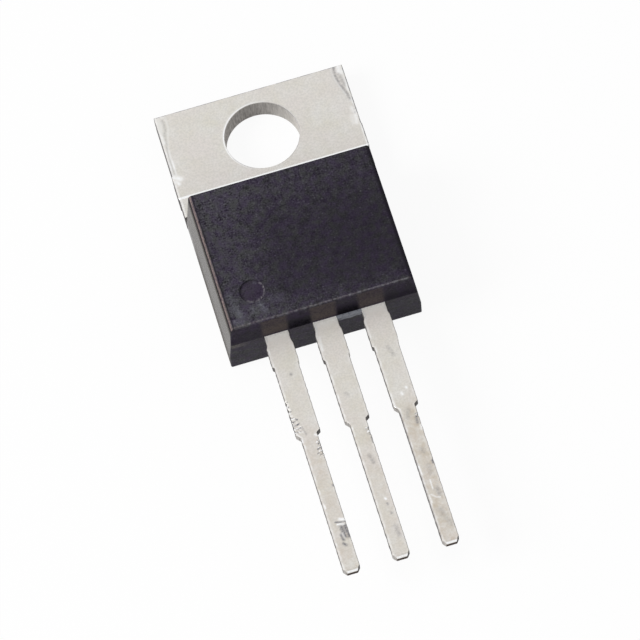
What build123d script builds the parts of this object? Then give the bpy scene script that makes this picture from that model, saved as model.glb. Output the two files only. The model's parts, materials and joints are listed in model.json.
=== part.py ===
from build123d import *
import math
import os

# A through-hole power transistor in the three-lead TO-220 outline, lying on its back.
# Origin: axis of the mounting hole, on the back (heat-sink) face. +X is to the right as
# seen from the front, +Y runs up the tab, +Z comes out of the front. Lengths are in mm.

os.makedirs("parts", exist_ok=True)

# ---------------------------------------------------------------- driving dimensions

# Heat-sink tab: thick copper strip, stamped, with the centre lead in one piece.
tab_width = 10.16
tab_thickness = 1.27
hole_diameter = 3.90
hole_edge_radius = 0.06            # die roll on the front rim of the hole
hole_to_tab_top = 2.76
hole_to_mould_line = 3.645         # hole axis to where the plastic starts on the tab front
tie_bar_length = 1.40              # sheared ends of the strip's cross ties, on both sides
tie_bar_proud = 0.03
tie_bar_below_hole = 1.60          # hole axis to the middle of the tie bar
mould_notch_depth = 0.22           # notches in the tab's sides that the plastic fills
mould_notch_length = 0.20
tab_shoulder_length = 0.70         # full copper width carried this far into the plastic

# Die pad: the part of the copper inside the plastic, bare on the back.
pad_width = 8.00
pad_to_body_end = 2.36             # plastic left below the pad, on the back
pad_lip_width = 0.25               # step that the plastic grips on three sides
pad_lip_height = 0.62              # the step's height above the back face

# Moulded body.
body_width = 10.10
body_thickness = 4.52
body_length = 8.595                # mould line on the tab to the parting line at the leads
body_back_recess = 0.03            # plastic stands this far short of the copper's back
side_draft = 4.6                   # degrees
tab_end_draft = 8.3
lead_end_front_draft = 1.8
lead_end_back_draft = 7.2
side_bevel = 0.20                  # long front edges
end_bevel = 0.06                   # front edges across the tab and the leads
corner_radius = 0.08

# Pin-one mark: a shallow round recess from an ejector pin.
pin_mark_diameter = 1.32
pin_mark_depth = 0.09
pin_mark_from_side = 1.92
pin_mark_from_lead_end = 1.84

# Leads.
lead_pitch = 2.54
lead_thickness = 0.45
lead_front_height = 2.92           # front face of the leads; the mould parts at this height
lead_wide_width = 1.26
lead_narrow_width = 0.87
lead_length = 13.84
shoulder_from_body = 5.83
shoulder_slope_left = 0.22
shoulder_slope_right = 0.14
tip_chamfer_width = 0.15
tip_chamfer_length = 0.21
tip_coin_length = 0.14             # coined slope on the front of the tip
tip_coin_depth = 0.17

# Sheared dambar stubs, which leave each lead a little wider near the body.
stub_start = 0.55
stub_ramp = 0.22
stub_proud_left = 0.075
stub_proud_right = 0.055
gate_stub_end = 1.80
drain_stub_end = 2.20
source_stub_end = 2.25

# Flash of resin left in the gap between the drain and source leads.
flash_length = 0.17
flash_thickness = 0.28

# Inside: where the leads end, the chip and its wires.
post_length = 1.50
post_from_body_end = 0.72
gate_post_width = 2.20
gate_post_outward = 0.25           # post centre, outward of the lead's centre line
source_post_width = 2.60
source_post_outward = 0.25
neck_run = 0.30                    # flat run of the drain lead before it bends up
neck_rise_run = 1.20               # length over which the neck climbs to the lead plane
neck_bend_radius = 0.30

solder_thickness = 0.06
solder_margin = 0.12
die_width = 5.00
die_length = 3.90
die_thickness = 0.25
die_from_mould_line = 1.35

gate_wire_diameter = 0.20
source_wire_diameter = 0.38
source_wire_count = 3
source_wire_spacing = 0.72
wire_foot_length = 0.65
wire_foot_flat = 0.35              # share of the wire's radius pressed flat by the bonding tool
wire_loop_height = 0.72            # crown of the loop above the lead posts
wire_climb_run = 0.40              # run of the wire for each mm that it climbs from the chip
wire_fall_run = 0.80               # and for each mm that it falls to the post
wire_bend_radius = 0.30
wire_end_margin = 0.20             # wire foot to the edge of what it is bonded to
gate_foot_from_die_end = 1.30
source_foot_from_die_end = 2.42

# ---------------------------------------------------------------- derived places

hole_radius = hole_diameter / 2
y_tab_top = hole_to_tab_top
y_mould_line = -hole_to_mould_line
y_body_end = y_mould_line - body_length
y_tip = y_body_end - lead_length
z_lead_back = lead_front_height - lead_thickness
y_back_end = y_body_end + lead_front_height * math.tan(math.radians(lead_end_back_draft))
y_pad_end = y_back_end + pad_to_body_end
y_shoulder = y_mould_line - tab_shoulder_length
y_post_end = y_body_end + post_from_body_end
y_post_start = y_post_end + post_length
z_die_back = tab_thickness + solder_thickness
z_die_front = z_die_back + die_thickness
y_die_top = y_mould_line - die_from_mould_line
y_die_end = y_die_top - die_length


def face_xy(points, z=0.0):
    """Flat face on the plane at height z, from (x, y) corners."""
    return make_face(Polyline([(x, y, z) for x, y in points], close=True))


def plate(points, z, height):
    """Flat plate with (x, y) corners, its back face at z."""
    return extrude(face_xy(points, z), amount=height, dir=(0, 0, 1))


def block(x0, x1, y0, y1, z0, z1):
    """Box between two corners."""
    return Pos((x0 + x1) / 2, (y0 + y1) / 2, (z0 + z1) / 2) * Box(x1 - x0, y1 - y0, z1 - z0)


# ---------------------------------------------------------------- leads

def lead_outline(stub_end, inner_y):
    """Corners of a lead about its own centre line, from inner_y down to the tip."""
    wide = lead_wide_width / 2
    narrow = lead_narrow_width / 2
    left = wide + stub_proud_left
    right = wide + stub_proud_right
    stub_top = y_body_end - stub_start
    stub_bottom = y_body_end - stub_end
    shoulder = y_body_end - shoulder_from_body
    tip_half = narrow - tip_chamfer_width
    return [
        (-wide, inner_y), (-wide, stub_top), (-left, stub_top - stub_ramp),
        (-left, stub_bottom), (-wide, stub_bottom - stub_proud_left),
        (-wide, shoulder), (-narrow, shoulder - shoulder_slope_left),
        (-narrow, y_tip + tip_chamfer_length), (-tip_half, y_tip),
        (tip_half, y_tip), (narrow, y_tip + tip_chamfer_length),
        (narrow, shoulder - shoulder_slope_right), (wide, shoulder),
        (wide, stub_bottom - stub_proud_right), (right, stub_bottom),
        (right, stub_top - stub_ramp), (wide, stub_top), (wide, inner_y),
    ]


def flat_lead(stub_end, inner_y):
    """Outer lead at the centre line: a stamped strip with a coined slope on its tip."""
    strip = plate(lead_outline(stub_end, inner_y), z_lead_back, lead_thickness)
    slope = make_face(Polyline([
        (0, y_tip, lead_front_height - tip_coin_depth),
        (0, y_tip + tip_coin_length, lead_front_height),
        (0, y_tip, lead_front_height)], close=True))
    wedge = extrude(slope, amount=lead_narrow_width, dir=(1, 0, 0), both=True)
    return strip - wedge


def lead_with_post(side, stub_end, post_width, outward):
    """Gate or source lead: the outer strip and the bonding post at its inner end."""
    centre = side * lead_pitch
    strip = Pos(centre, 0, 0) * flat_lead(stub_end, y_post_end)
    middle = centre + side * outward
    post = block(middle - post_width / 2, middle + post_width / 2,
                 y_post_end, y_post_start, z_lead_back, lead_front_height)
    return strip + post


gate_lead = lead_with_post(-1, gate_stub_end, gate_post_width, gate_post_outward)
source_lead = lead_with_post(1, source_stub_end, source_post_width, source_post_outward)
gate_post_x = -lead_pitch - gate_post_outward
source_post_x = lead_pitch + source_post_outward


# ---------------------------------------------------------------- tab, pad and drain lead

def tab_outline():
    """Tab with its tie-bar ends and mould notches, down to the shoulder in the plastic."""
    half = tab_width / 2
    proud = half + tie_bar_proud
    bar_top = -tie_bar_below_hole + tie_bar_length / 2
    bar_end = -tie_bar_below_hole - tie_bar_length / 2
    notch = half - mould_notch_depth
    y_notch = y_mould_line + mould_notch_length
    right = [
        (half, y_tab_top), (half, bar_top), (proud, bar_top - tie_bar_proud),
        (proud, bar_end + tie_bar_proud), (half, bar_end), (half, y_notch),
        (notch, y_notch), (notch, y_shoulder),
    ]
    return right + [(-x, y) for x, y in reversed(right)]


def rising_neck():
    """Thin strip that leaves the pad's front face and climbs to the plane of the leads."""
    t = lead_thickness
    turn = math.atan2(lead_front_height - tab_thickness, neck_rise_run)
    shift = t * math.tan(turn / 2)
    y1 = y_pad_end - neck_run
    y2 = y1 - neck_rise_run
    y3 = y_body_end
    front = FilletPolyline(
        (0, y_pad_end, tab_thickness), (0, y1, tab_thickness),
        (0, y2, lead_front_height), (0, y3, lead_front_height),
        radius=[neck_bend_radius, neck_bend_radius + t])
    back = FilletPolyline(
        (0, y_pad_end, tab_thickness - t), (0, y1 - shift, tab_thickness - t),
        (0, y2 - shift, z_lead_back), (0, y3, z_lead_back),
        radius=[neck_bend_radius + t, neck_bend_radius])
    ends = [
        Line((0, y_pad_end, tab_thickness), (0, y_pad_end, tab_thickness - t)),
        Line((0, y3, lead_front_height), (0, y3, z_lead_back)),
    ]
    profile = make_face(Wire(front.edges() + back.edges() + ends))
    return extrude(profile, amount=lead_wide_width / 2, dir=(1, 0, 0), both=True)


pad_half = pad_width / 2
lip_half = pad_half + pad_lip_width
tab = plate(tab_outline(), 0, tab_thickness)
pad_back = block(-pad_half, pad_half, y_pad_end, y_shoulder, 0, pad_lip_height)
pad_front = block(-lip_half, lip_half, y_pad_end - pad_lip_width, y_shoulder,
                  pad_lip_height, tab_thickness)
heat_sink_tab = tab + pad_back + pad_front
heat_sink_tab -= Cylinder(hole_radius, 4 * tab_thickness)
hole_rim = heat_sink_tab.edges().filter_by(GeomType.CIRCLE).sort_by(Axis.Z)[-1]
heat_sink_tab = fillet(hole_rim, hole_edge_radius)
heat_sink_tab = heat_sink_tab + rising_neck() + flat_lead(drain_stub_end, y_body_end)


# ---------------------------------------------------------------- chip and solder

mosfet_die = block(-die_width / 2, die_width / 2, y_die_end, y_die_top, z_die_back, z_die_front)
die_attach_solder = block(
    -die_width / 2 - solder_margin, die_width / 2 + solder_margin,
    y_die_end - solder_margin, y_die_top + solder_margin, tab_thickness, z_die_back)


# ---------------------------------------------------------------- bond wires

def bond_wire(start, end, diameter, post):
    """Wedge-bonded wire from (x, y) on the chip to (x, y) on a post, looped between.

    Its feet are pressed flat: the round wire is cut off level with what it is bonded to.
    """
    radius = diameter / 2
    lift = radius * (1 - wire_foot_flat)
    run = math.dist(start, end)
    along = ((end[0] - start[0]) / run, (end[1] - start[1]) / run)
    z_start = z_die_front + lift
    z_end = lead_front_height + lift
    z_crown = lead_front_height + wire_loop_height
    climb = (z_crown - z_start) * wire_climb_run
    fall = (z_crown - z_end) * wire_fall_run
    stations = [
        (0, z_start), (wire_foot_length, z_start), (wire_foot_length + climb, z_crown),
        (run - wire_foot_length - fall, z_crown), (run - wire_foot_length, z_end), (run, z_end),
    ]
    points = [(start[0] + along[0] * s, start[1] + along[1] * s, z) for s, z in stations]
    path = FilletPolyline(*points, radius=wire_bend_radius)
    section = Plane(origin=points[0], z_dir=(along[0], along[1], 0)) * Circle(radius)
    return sweep(section, path=path) - mosfet_die - post


y_wire_end = y_post_end + wire_end_margin
gate_bond_wire = bond_wire(
    (-die_width / 2 + wire_end_margin + gate_wire_diameter, y_die_end + gate_foot_from_die_end),
    (gate_post_x, y_wire_end), gate_wire_diameter, gate_lead)

source_bond_wires = []
for index in range(source_wire_count):
    offset = (index - (source_wire_count - 1) / 2) * source_wire_spacing
    die_x = die_width / 2 - wire_end_margin - source_wire_spacing * (source_wire_count - 0.5) + (
        index * source_wire_spacing)
    source_bond_wires.append(bond_wire(
        (die_x, y_die_end + source_foot_from_die_end),
        (source_post_x + offset, y_wire_end), source_wire_diameter, source_lead))


# ---------------------------------------------------------------- moulded body

def body_envelope():
    """Outside of the body: a lengthwise profile and a crosswise one, intersected."""
    rise = body_thickness - tab_thickness
    front_rise = body_thickness - lead_front_height
    y_front_top = y_mould_line - rise * math.tan(math.radians(tab_end_draft))
    y_front_end = y_body_end + front_rise * math.tan(math.radians(lead_end_front_draft))
    back_lift = body_back_recess * math.tan(math.radians(lead_end_back_draft))
    lengthwise = make_face(Polyline([
        (0, y_mould_line, body_back_recess), (0, y_mould_line, tab_thickness),
        (0, y_front_top, body_thickness - end_bevel),
        (0, y_front_top - end_bevel, body_thickness),
        (0, y_front_end + end_bevel, body_thickness),
        (0, y_front_end, body_thickness - end_bevel),
        (0, y_body_end, lead_front_height), (0, y_back_end - back_lift, body_back_recess)],
        close=True))
    half = body_width / 2
    half_front = half - rise * math.tan(math.radians(side_draft))
    right = [
        (half, 0, body_back_recess), (half, 0, tab_thickness),
        (half_front, 0, body_thickness - side_bevel),
        (half_front - side_bevel, 0, body_thickness)]
    crosswise = make_face(Polyline(
        right + [(-x, y, z) for x, y, z in reversed(right)], close=True))
    long_prism = extrude(lengthwise, amount=body_width, dir=(1, 0, 0), both=True)
    cross_prism = extrude(crosswise, amount=2 * (body_length + hole_to_mould_line),
                          dir=(0, 1, 0), both=True)
    return long_prism & cross_prism


def mould_ears():
    """Resin that fills the notches in the tab's sides."""
    inner = tab_width / 2 - mould_notch_depth
    ears = []
    for side in (-1, 1):
        x0, x1 = sorted((side * inner, side * body_width / 2))
        ears.append(block(x0, x1, y_mould_line, y_mould_line + mould_notch_length,
                          body_back_recess, tab_thickness))
    return ears


def resin_flash():
    """Web of resin left between the drain and source leads, level with their fronts."""
    return block(0, lead_pitch, y_body_end - flash_length, y_body_end + flash_length,
                 lead_front_height - flash_thickness, lead_front_height)


def is_corner(edge):
    """True for the long edges that run from back to front at the body's four corners."""
    return edge.bounding_box().size.Z > tab_thickness


envelope = body_envelope()
envelope = fillet([edge for edge in envelope.edges() if is_corner(edge)], corner_radius)
for ear in mould_ears():
    envelope += ear
envelope += resin_flash()

mark_x = -body_width / 2 + pin_mark_from_side
mark_y = y_body_end + pin_mark_from_lead_end
envelope -= Pos(mark_x, mark_y, body_thickness) * Cylinder(
    pin_mark_diameter / 2, 2 * pin_mark_depth)

moulded_body = envelope
inner_pieces = [heat_sink_tab, gate_lead, source_lead, die_attach_solder, mosfet_die,
                gate_bond_wire] + source_bond_wires
for piece in inner_pieces:
    moulded_body = moulded_body - piece


# ---------------------------------------------------------------- files

nodes = {
    "heat_sink_tab": heat_sink_tab,
    "gate_lead": gate_lead,
    "source_lead": source_lead,
    "mosfet_die": mosfet_die,
    "die_attach_solder": die_attach_solder,
    "gate_bond_wire": gate_bond_wire,
    "moulded_body": moulded_body,
}
for number, wire in enumerate(source_bond_wires, start=1):
    nodes[f"source_bond_wire_{number}"] = wire

for name, shape in nodes.items():
    export_step(shape, f"parts/{name}.step")
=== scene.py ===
import bpy
import json
import numpy as np
from mathutils import Matrix, Vector


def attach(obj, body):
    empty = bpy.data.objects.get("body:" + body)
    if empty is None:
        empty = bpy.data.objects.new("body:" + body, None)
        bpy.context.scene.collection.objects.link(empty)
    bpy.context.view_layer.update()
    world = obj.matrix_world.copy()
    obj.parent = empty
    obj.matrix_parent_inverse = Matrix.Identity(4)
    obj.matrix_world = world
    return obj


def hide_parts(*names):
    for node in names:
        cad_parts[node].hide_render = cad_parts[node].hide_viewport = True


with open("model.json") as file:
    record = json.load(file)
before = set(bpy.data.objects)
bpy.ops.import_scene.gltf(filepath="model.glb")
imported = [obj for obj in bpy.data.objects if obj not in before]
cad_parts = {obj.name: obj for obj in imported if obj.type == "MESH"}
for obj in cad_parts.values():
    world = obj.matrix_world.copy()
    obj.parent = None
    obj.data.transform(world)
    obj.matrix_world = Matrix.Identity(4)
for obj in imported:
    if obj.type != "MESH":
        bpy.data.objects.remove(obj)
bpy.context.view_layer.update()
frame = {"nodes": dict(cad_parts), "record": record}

# -------------------- heat-sink tab
# A thick copper plate, stamped from strip and plated with matt tin. The free end carries the
# mounting hole, and the far end is the pad that the chip is soldered to, inside the plastic.
# Shears and punch leave rough dark walls, deepened with painted shade, and rubbing against
# other parts leaves bright corners. Painted highlights run along the edges and round the hole.

MM = 0.001


def node_points(name):
    """Corners of a CAD node's mesh, in millimetres."""
    vertices = frame["nodes"][name].data.vertices
    flat = np.empty(3 * len(vertices))
    vertices.foreach_get("co", flat)
    return flat.reshape(-1, 3) / MM


tab_points = node_points("heat_sink_tab")
body_points = node_points("moulded_body")
body_low, body_high = body_points.min(axis=0), body_points.max(axis=0)
mount = next(m for m in frame["record"]["mounts"] if m["name"] == "mounting_hole")
hole_radius = mount["dims"]["r_mm"]

outside = tab_points[tab_points[:, 1] > body_high[1] + 0.1]
flat_back = tab_points[tab_points[:, 2] < 0.01]
tab_top = tab_points[:, 1].max()
tab_thickness = outside[:, 2].max()
tab_half = outside[outside[:, 1] > tab_top - 0.01, 0].max()
bar_half = outside[:, 0].max()
pad_end = flat_back[:, 1].min()
pad_half = flat_back[flat_back[:, 1] < pad_end + 0.01, 0].max()

bar_top = -0.90                  # the strip's cross ties were sheared off between these heights
bar_end = -2.30
notch_depth = 0.22               # notches in the sides, which the plastic fills
notch_length = 0.20
shoulder_length = 0.70           # full width carried this far into the plastic
lip_width = 0.25                 # step round the pad that the plastic grips
lip_height = 0.62
rim_radius = 0.02                # die roll round the front of the hole
tab_edge_radius = 0.06
shear_inset = 0.015              # the lower part of a sheared wall breaks away a little
back_edge_run = 0.03             # chamfer round the back, and the lowest row of the hole's wall

mould_line = body_high[1] - notch_length
shoulder = mould_line - shoulder_length


def plate_corners(inset, pad_lip=0.0):
    """Corners of the plate seen from the front, clockwise, with every side drawn in by inset."""
    bar_rise = bar_half - tab_half
    notch_half = tab_half - notch_depth
    right = [
        (tab_half - inset, tab_top - inset), (tab_half - inset, bar_top),
        (bar_half - inset, bar_top - bar_rise), (bar_half - inset, bar_end + bar_rise),
        (tab_half - inset, bar_end), (tab_half - inset, body_high[1] + inset),
        (notch_half - inset, body_high[1] + inset), (notch_half - inset, shoulder + inset),
        (pad_half + pad_lip - inset, shoulder + inset),
        (pad_half + pad_lip - inset, pad_end - pad_lip + inset),
    ]
    return np.array(right + [(-x, y) for x, y in reversed(right)])


def walk(corners, counts):
    """Points along a closed outline: each side cut into its own count of equal steps."""
    first = np.cumsum(counts) - counts
    share = (np.arange(counts.sum()) - np.repeat(first, counts)) / np.repeat(counts, counts)
    side = np.repeat(np.roll(corners, -1, axis=0) - corners, counts, axis=0)
    return np.repeat(corners, counts, axis=0) + side * share[:, None]


def ring_skin(grid):
    """A grid of points that closes on itself both ways, with its quads."""
    index = np.arange(grid.shape[0] * grid.shape[1]).reshape(grid.shape[:2])
    after = np.roll(index, -1, axis=0)
    quads = np.stack([index, after, np.roll(after, -1, axis=1), np.roll(index, -1, axis=1)], -1)
    return grid.reshape(-1, 3), quads.reshape(-1, 4)


def plate_skin(step):
    """The plate as a ring: rows go round its outline, and columns go round its section.

    From the hole's rim a column runs out over the front, down the side, back over the rear
    face and up the wall of the hole. A row's points lie on the ray through its outline point.
    """
    full = plate_corners(0, lip_width)
    sides = np.linalg.norm(np.roll(full, -1, axis=0) - full, axis=1)
    counts = np.ceil(sides / step).astype(int)
    front = walk(full, counts)
    front_inner = walk(plate_corners(tab_edge_radius, lip_width), counts)
    insets = (0.20, 0.15, 0.11, 0.085)
    front_rings = [walk(plate_corners(inset, lip_width), counts) for inset in insets]
    back = walk(plate_corners(shear_inset), counts)
    back_inner = walk(plate_corners(shear_inset + back_edge_run), counts)
    ray = front_inner / np.linalg.norm(front_inner, axis=1)[:, None]

    columns = []
    rim = ray * (hole_radius + rim_radius)
    reach = np.concatenate([[0, 0.008, 0.016, 0.028], np.linspace(0.05, 0.8, 13),
                            np.linspace(0.815, 1, 11)])
    columns += [(rim + (front_rings[0] - rim) * t, tab_thickness) for t in reach]
    columns += [(ring, tab_thickness) for ring in front_rings[1:] + [front_inner]]
    for turn in np.radians([30, 60, 90]):
        columns.append((front_inner + (front - front_inner) * np.sin(turn),
                        tab_thickness - tab_edge_radius * (1 - np.cos(turn))))
    columns += [(front, z) for z in np.linspace(tab_thickness - 0.2, lip_height + 0.02, 3)]
    columns += [(back, z) for z in (lip_height, 0.4, 0.2, back_edge_run)]
    back_rim = ray * (hole_radius + rim_radius)
    columns += [(back_inner + (back_rim - back_inner) * t, 0.0) for t in np.linspace(0, 1, 12)]
    wall = ray * hole_radius
    columns += [(wall, z) for z in np.linspace(back_edge_run, tab_thickness - rim_radius, 9)]
    for turn in np.radians([25, 50, 75]):
        columns.append((ray * (hole_radius + rim_radius * (1 - np.cos(turn))),
                        tab_thickness - rim_radius * (1 - np.sin(turn))))
    grid = [np.column_stack([flat, np.full(len(flat), z)]) for flat, z in columns]
    return ring_skin(np.stack(grid, axis=1))


def clamp(value):
    """The value, or 0 or 1 where it lies outside them."""
    return np.clip(value, 0, 1)


def band(offset, width):
    """A bell curve: e to the minus square of the offset over the width, so 1 at no offset."""
    return np.exp(-(offset / width) ** 2)


def stroke(x, y, points, width):
    """Soft line through a few points: a bell curve of the distance to its nearest stretch."""
    nearest = np.full(np.shape(x), np.inf)
    for (x0, y0), (x1, y1) in zip(points[:-1], points[1:]):
        run, rise = x1 - x0, y1 - y0
        share = clamp(((x - x0) * run + (y - y0) * rise) / (run ** 2 + rise ** 2))
        nearest = np.minimum(nearest, np.hypot(x - x0 - share * run, y - y0 - share * rise))
    return band(nearest, width)


def strokes(x, y, lines):
    """The strongest at each place of several soft lines, each of points, width and strength."""
    lines = [strength * stroke(x, y, points, width) for points, width, strength in lines]
    return np.max(lines, axis=0)


def ripple(place, length, seed):
    """Uneven wave between about -1 and 1: six sines near one wavelength, with random phases."""
    dice = np.random.default_rng(seed)
    waves = 2 * np.pi / (length * dice.uniform(0.6, 1.9, 6))
    return 0.6 * np.sin(np.multiply.outer(place, waves) + dice.uniform(0, 6.28, 6)).sum(-1) / 2


def smooth(share):
    """0 to 1 with level ends: three times the square less twice the cube."""
    share = clamp(share)
    return share * share * (3 - 2 * share)


# Bright rubbed places, each a line of (x, y) from the tab's own corner, its width and strength.
left_corner_rubs = [
    ([(0.12, -0.15), (0.22, -0.45), (0.12, -1.00)], 0.13, 0.30),
    ([(0.34, -0.06), (0.46, -0.12)], 0.07, 0.30),
    ([(0.56, -0.25), (0.58, -0.75), (0.50, -1.05), (0.40, -1.35), (0.30, -1.80), (0.24, -2.10)],
     0.045, 0.32),
    ([(0.24, -2.10), (0.21, -2.60), (0.25, -2.85), (0.25, -3.25), (0.23, -3.70)], 0.045, 0.55),
    ([(0.12, -1.20), (0.14, -1.65)], 0.07, 0.60), ([(0.24, -2.75), (0.24, -3.20)], 0.04, 0.90),
    ([(0.12, -3.74), (0.36, -3.92)], 0.15, 0.90), ([(0.14, -4.02), (0.24, -4.20)], 0.10, 0.75),
]
right_corner_rubs = [
    ([(-0.20, -0.05), (-0.26, -0.32), (-0.14, -0.45)], 0.13, 0.75),
    ([(-0.14, -0.60), (-0.10, -1.10)], 0.06, 0.35),
    ([(-0.62, -0.10), (-0.62, -0.50), (-0.57, -0.85), (-0.48, -1.20), (-0.41, -1.45),
      (-0.29, -1.85)], 0.04, 0.35),
    ([(-0.12, -1.20), (-0.12, -1.65)], 0.04, 0.60), ([(-0.14, -2.15), (-0.18, -2.25)], 0.05, 0.40),
    ([(-0.22, -2.65), (-0.20, -2.90)], 0.12, 0.45), ([(-0.16, -3.15), (-0.22, -3.60)], 0.12, 0.65),
    ([(-0.36, -3.15), (-0.38, -3.55)], 0.13, 0.35),
]
left_corner_crease = [(0.38, -0.30), (0.40, -0.80), (0.30, -1.05), (0.24, -1.40), (0.24, -1.70),
                      (0.15, -2.10), (0.12, -2.60), (0.12, -3.20), (0.14, -3.60)]
right_corner_dent = [(-0.45, -0.04), (-0.50, -0.58), (-0.43, -1.02), (-0.25, -1.60), (-0.12, -2.15)]
right_corner_fold = [(-0.34, -0.50), (-0.25, -0.90), (-0.18, -1.25)]
right_edge_nicks = [(-0.10, -2.00), (-0.09, -2.50), (-0.13, -3.05)]
# Painted edge highlights on the tab and the leads, and round the hole, are drawn this wide too.
glint_width = 0.035              # a rubbed edge shows as a bright line about this wide
dent_depth = 0.02
rub_depth = 0.004

plate_shell = plate_skin(step=0.06)
x, y, z = plate_shell[0].T
on_front = z > tab_thickness - 0.03
left_corner = (x + tab_half, y - tab_top)
right_corner = (x - tab_half, y - tab_top)
bright = np.maximum(strokes(*left_corner, left_corner_rubs),
                    strokes(*right_corner, right_corner_rubs)) * on_front
dent = stroke(*right_corner, right_corner_dent, 0.09) * on_front
fold = stroke(*right_corner, right_corner_fold, 0.13) * on_front
nicks = stroke(*right_corner, right_edge_nicks, 0.05) * on_front
nicks *= 0.5 + 0.7 * ripple(y, 0.25, 3)
# A crease at the left corner, painted darker as its shade.
crease_and_painted_shade = stroke(*left_corner, left_corner_crease, 0.07) * on_front
sheared = clamp((tab_thickness - 0.008 - z) / 0.03) * (z > 0.004)
from_axis = np.hypot(x, y)
in_hole = from_axis < hole_radius + 0.5 * rim_radius
half_here = np.where((y < bar_top) & (y > bar_end), bar_half, tab_half)
from_side = half_here - np.abs(x)
from_edge = np.minimum(from_side, tab_top - y)
# Painted highlights: a line inside the tab's sides, and one round the hole's rim on its upper left.
edge_highlight = band(from_side - 0.085, glint_width) * on_front
across, up = x / hole_radius, y / hole_radius
rim_highlight = band(from_axis - hole_radius - 0.05, glint_width) * on_front
rim_highlight *= clamp(0.1 + 0.35 * up - 0.9 * across)
rolled = clamp((0.03 - np.abs(from_axis - hole_radius - 0.005)) / 0.02) * (z > tab_thickness - 0.05)
highlight_breakup = 0.75 + 0.35 * ripple(y, 0.8, 1)
# Painted shade along the tab's edges, weaker on the left side.
outline = clamp((tab_edge_radius - from_edge) / 0.02) * (z > 0.05)
outline *= np.where(x < 0.1 - tab_half, 0.3, 1) * clamp(0.75 + 0.7 * ripple(y + 0.5 * x, 0.7, 12))
plate_shell[0][:, 2] -= dent_depth * dent + rub_depth * bright
# Painted light on the right of the hole's wall; painted shade on its upper part, on its rim and on the
# outer walls.
plate_marks = {
    "bright": np.maximum.reduce([bright, rim_highlight, 0.70 * edge_highlight * highlight_breakup,
                                 0.45 * in_hole * clamp(1.3 * across - 0.3)]),
    "dark": np.maximum.reduce([0.50 * dent, 0.30 * fold, 0.4 * nicks, 0.22 * crease_and_painted_shade, outline,
                               sheared * (1 - in_hole), 0.36 * in_hole * clamp(0.6 * across + up - 0.4),
                               0.45 * rolled * clamp(1.5 * across),
                               0.8 * rolled * smooth(8 * (-0.74 * across - 0.67 * up - 0.9))]),
    "cut": sheared,
    **dict.fromkeys(("bare", "stained", "painted_exit_light"), np.zeros(len(x))),
}


def linear(code):
    """Linear colour from an sRGB hex value."""
    srgb = np.array([int(code[i:i + 2], 16) for i in (1, 3, 5)]) / 255
    return (*np.where(srgb <= 0.04045, srgb / 12.92, ((srgb + 0.055) / 1.055) ** 2.4), 1)


def add(tree, kind, settings=None, links=None, output=0):
    """Adds a shader node with its settings and links, and returns one of its outputs.

    The kind goes without the ShaderNode that all their names start with. A setting is one of the
    node's own properties or, failing that, the value of a socket.
    """
    node = tree.nodes.new("ShaderNode" + kind)
    for key, value in (settings or {}).items():
        if isinstance(key, str) and hasattr(node, key):
            setattr(node, key, value)
        else:
            node.inputs[key].default_value = value
    for key, source in (links or {}).items():
        tree.links.new(source, node.inputs[key])
    return node.outputs[output] if len(node.outputs) else None


def new_finish(name):
    """An empty material and its node tree."""
    material = bpy.data.materials.new(name)
    material.use_nodes = True
    material.node_tree.nodes.clear()
    return material, material.node_tree


def close_finish(tree, height, settings, links, strength, depth):
    """A finish's last nodes: relief as deep as given, in millimetres, then surface and output."""
    relief = add(tree, "Bump", {"Strength": strength, "Distance": depth * MM}, {"Height": height})
    shader = add(tree, "BsdfPrincipled", settings, {**links, "Normal": relief})
    add(tree, "OutputMaterial", {}, {0: shader})


# Matt tin over copper, electroplated: a satin grain in warm grey, drawn coarser than it is so
# that it shows, and faintly clouded yellow and pink. Rubbing turns it brighter and cooler, and
# knocks turn it darker; the bright and dark marks also carry painted highlights and painted shade.
# A painted highlight draws a thin bright line across the tab a little above the body, and painted
# light lightens the leads next to the body.
highlight_line_y = -2.285
tin, tree = new_finish("matt_tin_plated_copper")
place = add(tree, "TexCoord", output="Object")
grain = add(tree, "TexNoise", {"Scale": 1 / (0.10 * MM), "Detail": 3.0}, {"Vector": place})
cloud = add(tree, "TexNoise", {"Scale": 1 / (0.9 * MM), "Detail": 5.0, "Roughness": 0.62},
            {"Vector": place})
shifted = add(tree, "Mapping", {1: (0.013, 0.007, 0.0)}, {0: place})
blush = add(tree, "TexNoise", {"Scale": 1 / (1.6 * MM), "Detail": 4.0}, {"Vector": shifted})
clouded = add(tree, "MapRange", {"From Min": 0.33, "From Max": 0.67}, {"Value": cloud})
blushed = add(tree, "MapRange", {"From Min": 0.35, "From Max": 0.65, "To Max": 0.8}, {"Value": blush})
grainy = add(tree, "MapRange", {"From Min": 0.36, "From Max": 0.64, "To Max": 0.36}, {"Value": grain})
colour = add(tree, "Mix", {"data_type": "RGBA", 6: linear("#dedacf"), 7: linear("#e6e4e0")},
             {0: clouded}, output=2)
stained = add(tree, "Attribute", {"attribute_name": "stained"}, output="Fac")
blotch = add(tree, "TexNoise", {"Scale": 1 / (0.35 * MM), "Detail": 5.0, "Roughness": 0.65},
             {"Vector": shifted})
blotch = add(tree, "MapRange",
             {"From Min": 0.34, "From Max": 0.68, "To Min": 0.1, "To Max": 1.2}, {"Value": blotch})
stained = add(tree, "Math", {"operation": "MULTIPLY", "use_clamp": True}, {0: stained, 1: blotch})
for share, code in ((blushed, "#e3ddd9"), (grainy, "#bebcb6"), (stained, "#c2b4a1")):
    colour = add(tree, "Mix", {"data_type": "RGBA", 7: linear(code)}, {0: share, 6: colour}, output=2)
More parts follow.
